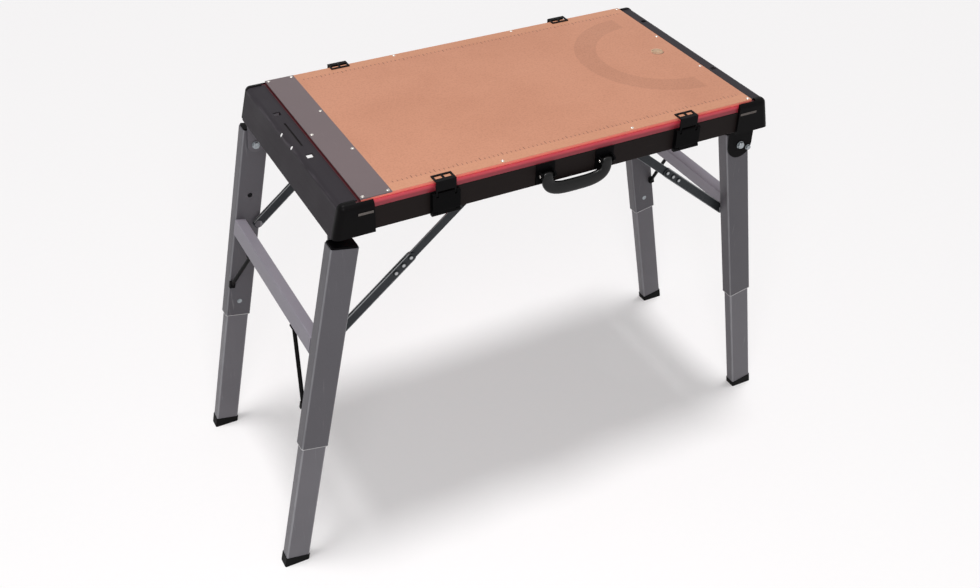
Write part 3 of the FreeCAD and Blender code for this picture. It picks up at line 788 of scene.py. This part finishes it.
BOARD = FacedBoard("faced_board")
RED = RedSlab("red_slab")
PLATE = CoatedSteel("end_plate_steel", paint(110, 97, 99), paint(152, 140, 142),
                    sheen=0.45, metal=0.1, along=ALONG_Y, scuffs=0.3, level=0.2)
RAIL = CoatedSteel("rail_coat", paint(27, 21, 20), paint(58, 51, 48),
                   sheen=0.5, metal=0.0, along=ALONG_X, scuffs=0.25, level=0.08)
# The bend colour is wear and a painted highlight; the floor colour is painted shade in the groove.
END_RAIL = EndRailCoat("end_rail_coat", paint(48, 44, 49), bend=paint(112, 107, 114),
                       grime=paint(34, 30, 33), floor=paint(18, 14, 15))
LEG = LegCoat("leg_coat", paint(98, 96, 101), wear_and_highlight=paint(156, 156, 160),
              grime=paint(52, 51, 54), half=LEG_HALF)
INNER_LEG = LegCoat("slide_coat", paint(118, 116, 121), wear_and_highlight=paint(172, 172, 176),
                    grime=paint(52, 51, 54), half=SLIDE_HALF)
# Painted light: the stretchers take the leg grey painted paler, for the light on their tops.
STRETCHER_PAINTED_LIGHT = CoatedSteel("stretcher_coat_painted_light", paint(136, 132, 141), paint(190, 188, 194),
                        sheen=0.42, metal=0.05, along=ALONG_Y, scuffs=0.3, level=0.2)
BRACKET = CoatedSteel("bracket_coat", paint(100, 98, 103), paint(150, 150, 153),
                      sheen=0.42, metal=0.1, along=DOWN_LEG, scuffs=0.3, level=0.2)
BLACK_STEEL = CoatedSteel("black_coat", paint(10, 9, 10), paint(44, 42, 42),
                          sheen=0.55, metal=0.0, along=ALONG_BAR, scuffs=0.12, level=0.06)
BLACK = MouldedPlastic("moulded_black", paint(3, 3, 4), paint(13, 12, 12), sheen=0.5, level=0.04)
GRIP = MouldedPlastic("grip_plastic", paint(4, 4, 4), paint(16, 16, 16), sheen=0.3, level=0.25)
RUBBER = MouldedPlastic("foot_rubber", paint(9, 9, 10), paint(26, 25, 25), sheen=0.65, level=0.08)
CAP = CapPlastic("cap_plastic", paint(5, 4, 5), paint(17, 16, 16), ridge=paint(116, 110, 106))
# The stays' dark colour is a painted reflection; their bright colour is wear and a painted highlight.
STAY = StaySteel("stay_steel", paint(44, 48, 52), paint(24, 26, 30), bright=paint(206, 208, 210),
                 gap=paint(26, 30, 32))
ZINC = PlatedSteel("zinc_steel", paint(176, 182, 186), paint(112, 120, 124),
                   sheen=0.34, metal=0.8, spangle=160.0)
BRIGHT = PlatedSteel("polished_steel", paint(226, 222, 216), paint(160, 154, 148),
                     sheen=0.26, metal=0.85, spangle=700.0)
CUT_EDGE = PlatedSteel("cut_steel_edge", paint(206, 204, 204), paint(150, 150, 152),
                       sheen=0.38, metal=0.4, spangle=500.0)
FLOOR = FloorPaint("studio_floor")


def skin_of_rings(rings: np.ndarray, closed: bool = False) -> Shape:
    """Closed skin of a row of rings: the last joined to the first, or each end shut by a fan.

    Args:
        rings: Points with shape (rings, points round, 3).
        closed: Whether the rings follow a closed path.

    Returns:
        The points, and the faces as rows of four corners, a triangle's last corner given twice.
    """
    count, round_, _ = rings.shape
    points = rings.reshape(-1, 3)
    row = np.arange(count if closed else count - 1)[:, None] * round_
    above = (row + round_) % len(points)
    here = np.arange(round_)
    after = (here + 1) % round_
    quads = np.stack([row + here, row + after, above + after, above + here], axis=-1).reshape(-1, 4)
    if closed:
        return points, quads
    first, last = len(points), len(points) + 1
    top = len(points) - round_
    low = np.stack([np.full(round_, first), after, here, here], axis=-1)
    high = np.stack([np.full(round_, last), top + here, top + after, top + after], axis=-1)
    middles = rings[[0, -1]].mean(axis=1)
    return np.concatenate([points, middles]), np.concatenate([quads, low, high])


def gathered(shapes: Iterable[Shape]) -> Shape:
    """Several shapes as one set of points and faces.

    Args:
        shapes: Points and faces of each shape.

    Returns:
        All points and faces.
    """
    parts = list(shapes)
    starts = np.cumsum([0] + [len(points) for points, _ in parts[:-1]])
    points = np.concatenate([points for points, _ in parts])
    return points, np.concatenate([faces + start for (_, faces), start in zip(parts, starts)])


def outward(points: np.ndarray, faces: np.ndarray) -> np.ndarray:
    """Faces turned so that they point out of the closed shape, by the sign of its volume."""
    a, b, c, d = (points[faces[:, k]] for k in range(4))
    return faces[:, ::-1] if (a * (np.cross(b, c) + np.cross(c, d))).sum() < 0 else faces


def placed(shape: Shape, at: Iterable[float], flip: Point = (1.0, 1.0, 1.0)) -> Shape:
    """A shape mirrored by the signs of flip and moved to a place, its faces pointing out of it."""
    points = shape[0] * np.array(flip) + np.array(at)
    return points, outward(points, shape[1])


def squared(wave: np.ndarray, power: float) -> np.ndarray:
    """A cosine or sine bent so that with its twin it draws |a|^power + |b|^power = 1."""
    return np.sign(wave) * abs(wave) ** (2 / power)


@dataclass
class Maker:
    """Puts worked-out surfaces into the scene as pieces that ride on CAD bodies."""

    sharp: float = math.radians(38.0)

    def piece(self, name: str, shape: Shape, body: str, slot: str, finish: Finish,
              replaced: tuple[str, ...] = ()) -> None:
        """Make one piece.

        Args:
            name: Name of the piece.
            shape: Its points and faces.
            body: CAD body that it moves with.
            slot: Material slot of the record that its finish comes from; not used.
            finish: Its finish.
            replaced: CAD nodes that it stands for.
        """
        points, faces = shape
        faces = outward(points, faces)
        mesh = bpy.data.meshes.new(name)
        mesh.from_pydata(points.tolist(), [], [list(dict.fromkeys(row)) for row in faces.tolist()])
        mesh.polygons.foreach_set("use_smooth", np.ones(len(mesh.polygons), dtype=bool))
        mesh.set_sharp_from_angle(angle=self.sharp)
        mesh.materials.append(finish.material())
        mesh.update()
        piece = bpy.data.objects.new(name, mesh)
        bpy.context.scene.collection.objects.link(piece)
        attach(piece, body)
        if replaced:
            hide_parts(*replaced)
        log.info("piece %s: %d faces on %s", name, len(mesh.polygons), body)


MAKER = Maker()


@dataclass
class WorkTop:
    """Board, steel end strip, red slab and the screws that hold them."""

    length: float = 0.920
    depth: float = 0.5376
    centre: float = 0.0155
    strip: float = 0.0655
    inset: float = 0.0065
    head_radius: float = 0.0036
    head_height: float = 0.0014
    head_lip: float = 0.0003
    shank_radius: float = 0.0015
    shank: float = 0.0055
    cross_half: float = 0.00052
    cross_reach: float = 0.0021
    cross_depth: float = 0.0008
    dome_edge: float = 0.995
    dome_share: float = 0.99
    tip: float = 0.00008
    rings: int = 14
    sides: int = 64

    def screw_places(self) -> np.ndarray:
        """Work out where the screws are.

        Returns:
            Middles of the screws on the board's face.
        """
        left = self.centre - self.length / 2
        edge = self.depth / 2 - self.inset
        thirds = edge * np.array([-1.0, -1 / 3, 1 / 3, 1.0])
        rows = [(left + self.inset, y) for y in (-edge, 0.0, edge)]
        rows += [(left + self.strip - self.inset, y) for y in thirds]
        rows += [(left + self.length - self.inset, y) for y in thirds]
        rows += [(self.centre + k * self.length / 6, s * edge) for k in (-1, 1) for s in (-1, 1)]
        return np.array([(x, y, BOARD_TOP) for x, y in rows])

    def screw(self) -> Shape:
        """One pan-head screw about its own middle.

        A profile of radius and height is turned round z: up the shank, out under the head, and over a dome
        h(1 - (r/R)^4). A cross is sunk in the dome where the smaller of |x| and |y| is near nothing.

        Returns:
            Points and faces.
        """
        radius, high, lip = self.head_radius, self.head_height, self.head_lip
        dome = np.linspace(1.0, 0.0, self.rings + 1)[:-1]
        dome[0] = self.dome_edge
        over = radius * dome * self.dome_share
        r = np.concatenate([[self.shank_radius] * 2, [radius] * 2, over, [self.tip]])
        z = np.concatenate([[-self.shank, 0.0], [0.0, lip], lip + (high - lip) * (1.0 - dome ** 4), [high]])
        turn = np.linspace(0.0, 2 * math.pi, self.sides, endpoint=False)
        x = r[:, None] * np.cos(turn)
        y = r[:, None] * np.sin(turn)
        arms = np.exp(-(np.minimum(abs(x), abs(y)) / self.cross_half) ** 6)
        cross = arms * np.exp(-(np.hypot(x, y) / self.cross_reach) ** 8)
        on_head = (np.arange(len(r)) > 3)[:, None]
        return skin_of_rings(np.stack([x, y, z[:, None] - self.cross_depth * cross * on_head], axis=-1))

    def build(self) -> None:
        """Make the screws."""
        screw = self.screw()
        screws = gathered(placed(screw, place) for place in self.screw_places())
        MAKER.piece("screw_heads", screws, "frame", "bright_steel", BRIGHT, ("board_screws",))

    def dress(self) -> None:
        """Give the board, strip, slab and screws their finishes."""
        BOARD.dress("top_board")
        PLATE.dress("end_plate")
        RED.dress("red_deck")
        BRIGHT.dress("board_screws")


@dataclass
class TrayFrame:
    """Rails, corner caps, hinge brackets, cross bars and the bolts that carry the legs."""

    stop: Pair = (0.5129, 0.777)
    bracket: Pair = (0.236, 0.240)
    head: float = 0.006
    head_radius: float = 0.009
    shank_radius: float = 0.005
    left_end: float = 0.2575
    right_start: float = 0.197
    stop_head: float = 0.005
    stop_radius: float = 0.0065
    stop_shank: float = 0.004
    nut: float = 0.004
    nut_corners: Pair = (0.0058, 0.0065)
    lead: float = 0.0008
    lead_share: float = 0.86
    head_steps: tuple[Ring, ...] = ((0.0, 1.0, False), (0.22, 1.0, False), (0.25, 0.97, False),
                                    (0.25, 0.93, True), (0.85, 0.93, True), (1.0, 0.78, False))
    sides: int = 48

    def bolt(self, levels: list[Ring]) -> Shape:
        """A bolt along y about its own axis.

        Rings follow the levels; a round ring has one radius, and a six-sided ring has the radius
        a / cos(angle from the middle of its side), a being the distance of a side from the middle.

        Args:
            levels: Place along y, radius to the corners, and whether the ring is six-sided.

        Returns:
            Points and faces.
        """
        turn = np.linspace(0.0, 2 * math.pi, self.sides, endpoint=False)
        side = np.cos(math.pi / 6) / np.cos(np.mod(turn, math.pi / 3) - math.pi / 6)
        y, reach, six = (np.array(column)[:, None] for column in zip(*levels))
        r = np.where(six, reach * side, reach * np.ones_like(side))
        return skin_of_rings(np.stack([r * np.cos(turn), np.broadcast_to(y, r.shape), r * np.sin(turn)], -1))

    def headed(self, start: float, face: float, head: float, shank: float, radius: float) -> list[Ring]:
        """Levels of a bolt with a washer and a six-sided head that stands on a face.

        Args:
            start: Place of the shank's free end.
            face: Place of the face under the washer.
            head: Height of washer and head together, below nothing where it points inward.
            shank: Radius of the shank.
            radius: Radius of the washer.

        Returns:
            Rings as place, radius and whether six-sided.
        """
        near = start + self.lead * math.copysign(1.0, face - start)
        shaft = [(start, shank * self.lead_share, False), (near, shank, False), (face, shank, False)]
        return shaft + [(face + up * head, radius * out, six) for up, out, six in self.head_steps]

    def build(self) -> None:
        """Make the pivot and stop bolts."""
        inner, outer = self.bracket
        nut_end = inner - self.nut
        pin = (self.shank_radius, self.head_radius)
        shapes = []
        for end in End:
            left = self.bolt(self.headed(self.left_end, inner, -self.head, *pin))
            right = self.bolt(self.headed(self.right_start, outer, self.head, *pin))
            stop = self.bolt(self.headed(nut_end, outer, self.stop_head, self.stop_shank, self.stop_radius))
            nut = self.bolt([(nut_end, self.nut_corners[0], True), (inner, self.nut_corners[1], True)])
            places = [(left, -LEG_PIVOT[0], LEG_PIVOT[1]), (right, *LEG_PIVOT),
                      (stop, *self.stop), (nut, *self.stop)]
            shapes += [placed(shape, (x, 0.0, z), (1.0, end.sign, 1.0)) for shape, x, z in places]
        MAKER.piece("pivot_and_stop_bolts", gathered(shapes), "frame", "bright_steel", ZINC,
                    ("leg_pivot_bolts",))

    def dress(self) -> None:
        """Give the frame's pieces their finishes."""
        RAIL.dress("front_rail", "back_rail")
        END_RAIL.dress("left_end_rail", "right_end_rail")
        ZINC.dress("leg_pivot_bolts")
        for side in Side:
            coat = BRACKET if side is Side.LEFT else BLACK_STEEL
            BLACK_STEEL.dress(f"{side.value}_cross_bar")
            CAP.dress(*side.corners("cap"))
            coat.dress(*side.corners("bracket"))


@dataclass
class LegPair:
    """Two telescopic legs with their stretcher, braces, plugs, buttons and feet."""

    side: Side
    corner: float = 0.005
    tube_end: float = 0.462
    bead: float = 0.0009
    bead_sunk: float = 0.4
    sides: int = 48
    bead_sides: int = 10

    def rim(self, end: End) -> Shape:
        """Bead round the lower end of an outer tube.

        A small circle is carried round a rectangle with round corners: corner middles plus r(cos t, sin t).
        The path lies across the leg at its tube end and leans with it.

        Args:
            end: Long edge of the bench that the leg stands at.

        Returns:
            Points and faces.
        """
        turn = (np.arange(self.sides) + 0.5) * 2 * math.pi / self.sides
        cos, sin = np.cos(turn)[:, None], np.sin(turn)[:, None]
        small = np.linspace(0.0, 2 * math.pi, self.bead_sides, endpoint=False)[None, :]
        out = self.corner + self.bead * (np.cos(small) - self.bead_sunk)
        n = np.sign(cos) * (LEG_HALF[0] - self.corner) + cos * out
        y = np.sign(sin) * (LEG_HALF[1] - self.corner) + sin * out
        a = self.tube_end - self.bead + self.bead * np.sin(small)
        x = -LEG_PIVOT[0] - a * math.sin(LEG_LEAN) + n * math.cos(LEG_LEAN)
        z = LEG_PIVOT[1] - a * math.cos(LEG_LEAN) - n * math.sin(LEG_LEAN)
        y = end.sign * (y + LANES[self.side])
        return skin_of_rings(np.stack([-self.side.sign * x, y, z], axis=-1), closed=True)

    def build(self) -> None:
        """Make the pale rims at the ends of the outer tubes."""
        name = self.side.value
        rims = gathered(placed(self.rim(end), (0.0, 0.0, 0.0)) for end in End)
        MAKER.piece(f"{name}_tube_rims", rims, f"{name}_legs", "zinc", CUT_EDGE)

    def dress(self) -> None:
        """Give the legs' pieces their finishes."""
        name = self.side.value
        STRETCHER_PAINTED_LIGHT.dress(f"{name}_stretcher")
        BLACK_STEEL.dress(f"{name}_knee_braces")
        BLACK.dress(f"{name}_leg_plugs")
        LEG.dress(*self.side.corners("leg"))
        INNER_LEG.dress(*self.side.corners("inner_leg"))
        RUBBER.dress(*self.side.corners("foot"))
        ZINC.dress(*self.side.corners("lock_button"))
        log.info("dressed the %s legs", name)


@dataclass
class FoldingStays:
    """Plated stays of one pair of legs."""

    side: Side

    def dress(self) -> None:
        """Give the stays their finish."""
        STAY.dress(*self.side.corners("lower_stay"), *self.side.corners("upper_stay"))
        log.info("dressed the %s stays", self.side.value)


@dataclass
class BoardCatches:
    """Catches that hold the board down: bases, levers and hooks."""

    def dress(self) -> None:
        """Give the catches their finishes."""
        BLACK_STEEL.dress("catch_bases")
        for side in Side:
            BLACK.dress(*side.corners("catch_lever"))
            BLACK_STEEL.dress(*side.corners("catch_hook"))
        log.info("dressed the board catches")


@dataclass
class CarryHandle:
    """Swinging grip between two lugs on the front rail."""

    middle: float = 0.0265
    arm: float = 0.07075
    out: float = -0.283
    pivot: float = 0.874
    eye: float = 0.0062
    grip: float = 0.8352
    power: float = 3.4
    arm_half: float = 0.0122
    grip_half: float = 0.0147
    arm_thick: float = 0.0062
    grip_thick: float = 0.0068
    section: float = 3.0
    shut_length: float = 0.006
    shut_tip: float = 0.25
    ear: float = 0.01775
    pin_radius: float = 0.0034
    pin_height: float = 0.0014
    pin_sunk: float = 0.0006
    steps: int = 73
    arm_steps: int = 4
    sides: int = 32
    pin_sides: int = 24

    def loop(self) -> Shape:
        """The grip as a soft section carried along a U.

        The path runs down one arm, along the lower half of |x/a|^p + |z/b|^p = 1 and up the other arm. The
        section is |u/w|^q + |v/t|^q = 1, with w and t growing from the arms to the middle of the grip.

        Returns:
            Points and faces.
        """
        t = np.linspace(0.0, math.pi, self.steps)
        x = self.arm * squared(np.cos(t), self.power)
        z = -self.drop * squared(np.sin(t), self.power)
        top = np.linspace(self.eye, 0.0, self.arm_steps + 1)[:-1]
        x = np.concatenate([np.full(self.arm_steps, self.arm), x, np.full(self.arm_steps, -self.arm)])
        z = np.concatenate([top, z, top[::-1]])
        along = np.stack([np.gradient(x), np.gradient(z)], axis=-1)
        along /= np.linalg.norm(along, axis=1, keepdims=True)
        share = np.clip(-z / self.drop, 0.0, 1.0) ** 2
        shut = np.clip((self.eye - z) / self.shut_length, 0.0, 1.0)
        shut = np.sqrt(1 - (1 - shut) ** 2) * (1 - self.shut_tip) + self.shut_tip
        wide = (self.arm_half + (self.grip_half - self.arm_half) * share) * shut
        thick = (self.arm_thick + (self.grip_thick - self.arm_thick) * share) * shut
        turn = np.linspace(0.0, 2 * math.pi, self.sides, endpoint=False)
        u = squared(np.cos(turn), self.section) * wide[:, None]
        v = squared(np.sin(turn), self.section) * thick[:, None]
        px = self.middle + x[:, None] - u * along[:, 1:]
        pz = self.pivot + z[:, None] + u * along[:, :1]
        return skin_of_rings(np.stack([px, self.out + v, pz], axis=-1))

    @property
    def drop(self) -> float:
        """Depth of the grip's middle line below the pivot."""
        return self.pivot - self.grip

    def pin_end(self) -> Shape:
        """Domed end of a pin along x: a profile R sqrt(1 - s^2) turned round x.

        Returns:
            Points and faces about the middle of its flat side.
        """
        s = np.array([0.0, 0.3, 0.55, 0.75, 0.9, 0.985])
        r = self.pin_radius * np.sqrt(1 - np.concatenate([[0.0], s]) ** 2)[:, None]
        x = np.concatenate([[-self.pin_sunk], self.pin_height * s])[:, None]
        turn = np.linspace(0.0, 2 * math.pi, self.pin_sides, endpoint=False)
        return skin_of_rings(np.stack(np.broadcast_arrays(x, r * np.cos(turn), r * np.sin(turn)), axis=-1))

    def build(self) -> None:
        """Make the grip and the bright ends of its pins."""
        MAKER.piece("handle_grip", self.loop(), "carry_handle", "black_plastic", GRIP, ("carry_handle",))
        pin = self.pin_end()
        shapes = []
        for lug in (-self.arm, self.arm):
            for way in (-1.0, 1.0):
                place = (self.middle + lug + way * self.ear, self.out, self.pivot)
                shapes.append(placed(pin, place, (way, 1.0, 1.0)))
        MAKER.piece("handle_pin_ends", gathered(shapes), "frame", "bright_steel", BRIGHT)

    def dress(self) -> None:
        """Give the lugs and the CAD grip their finish."""
        BLACK.dress("handle_lugs")
        GRIP.dress("carry_handle")


@dataclass
class Studio:
    """Floor, lamps, surroundings and camera."""

    azimuth: float = -0.50219387
    height: float = 0.64535615
    roll: float = 0.02472348
    eye: Point = (-1.1275825, -2.0263200, 2.1122595)
    lens: float = 43.28
    sensor: float = 36.0
    farthest: float = 60.0
    reach: float = 9.0
    tiles: int = 4
    fill: float = 0.26
    overhead: Point = (-0.12, 0.14, 6.0)
    overhead_spread: float = math.radians(13.0)
    overhead_strength: float = 1.95
    front: Point = (-1.1, -1.9, 2.2)
    front_target: Point = (-0.3, 0.0, 0.7)
    front_size: float = 1.0
    front_power: float = 20.0

    def floor(self) -> None:
        """Lay the floor: a flat grid at the level of the feet."""
        row_length = self.tiles + 1
        step = np.linspace(-self.reach, self.reach, row_length)
        x, y = np.meshgrid(step, step, indexing="ij")
        points = np.stack([x, y, np.zeros_like(x)], axis=-1).reshape(-1, 3)
        tile = np.arange(self.tiles)
        first = (tile[:, None] * row_length + tile[None, :]).ravel()
        faces = np.stack([first, first + row_length, first + row_length + 1, first + 1], axis=-1)
        mesh = bpy.data.meshes.new("studio_floor")
        mesh.from_pydata(points.tolist(), [], faces.tolist())
        mesh.materials.append(FLOOR.material())
        floor = bpy.data.objects.new("studio_floor", mesh)
        bpy.context.scene.collection.objects.link(floor)

    def hang(self, name: str, kind: Lamp, place: Point, target: Point, **settings: Any) -> None:
        """Hang one lamp.

        Args:
            name: Name of the lamp.
            kind: Kind of the lamp.
            place: Where it hangs.
            target: What it points at.
            settings: The lamp's own settings, such as its energy.
        """
        data = bpy.data.lights.new(name, kind.value)
        for key, value in settings.items():
            setattr(data, key, value)
        lamp = bpy.data.objects.new(name, data)
        lamp.location = place
        lamp.rotation_euler = (Vector(target) - Vector(place)).to_track_quat("-Z", "Y").to_euler()
        bpy.context.scene.collection.objects.link(lamp)

    def surroundings(self) -> None:
        """Even pale surroundings: dim as a light, white for what looks at them."""
        world = bpy.data.worlds.new("studio_surroundings")
        shader = Shader.start(world)
        level = shader.node("ShaderNodeMapRange", None, {0: shader.seen(), 3: self.fill})
        white = (1.0, 1.0, 1.0, 1.0)
        back = shader.node("ShaderNodeBackground", None, {"Color": white, "Strength": level})
        shader.finish(back, "ShaderNodeOutputWorld")
        bpy.context.scene.world = world

    def camera(self) -> None:
        """Set the camera at the photograph's viewing angle."""
        sin_a, cos_a = math.sin(self.azimuth), math.cos(self.azimuth)
        sin_e, cos_e = math.sin(self.height), math.cos(self.height)
        back = Vector((sin_a * cos_e, -cos_a * cos_e, sin_e))
        right = (-back).cross(Vector((0.0, 0.0, 1.0))).normalized()
        up = right.cross(-back)
        cos_r, sin_r = math.cos(self.roll), math.sin(self.roll)
        x = cos_r * right + sin_r * up
        y = -sin_r * right + cos_r * up
        data = bpy.data.cameras.new("studio_camera")
        data.sensor_fit = "HORIZONTAL"
        data.sensor_width = self.sensor
        data.lens = self.lens
        data.clip_end = self.farthest
        camera = bpy.data.objects.new("studio_camera", data)
        turned = Matrix((x, y, back)).transposed().to_4x4()
        camera.matrix_world = Matrix.Translation(Vector(self.eye)) @ turned
        bpy.context.scene.collection.objects.link(camera)
        bpy.context.scene.camera = camera

    def build(self) -> None:
        """Set up the whole studio."""
        scene = bpy.context.scene
        scene.view_settings.view_transform = "Standard"
        self.floor()
        self.surroundings()
        self.hang("overhead_lamp", Lamp.FAR, self.overhead, (0.0, 0.0, 0.0),
                  angle=self.overhead_spread, energy=self.overhead_strength)
        self.hang("front_lamp", Lamp.SOFT, self.front, self.front_target,
                  shape="SQUARE", size=self.front_size, energy=self.front_power)
        self.camera()
        log.info("studio ready")


def main() -> None:
    """Build and dress the bench's sub-assemblies in order, then the studio."""
    logging.basicConfig(level=logging.INFO, format="%(message)s")
    parts: list[Any] = [WorkTop(), TrayFrame(), LegPair(Side.LEFT), LegPair(Side.RIGHT), CarryHandle()]
    for part in parts:
        part.build()
        part.dress()
    for dressed in (FoldingStays(Side.LEFT), FoldingStays(Side.RIGHT), BoardCatches()):
        dressed.dress()
    Studio().build()


if __name__ == "__main__":
    main()
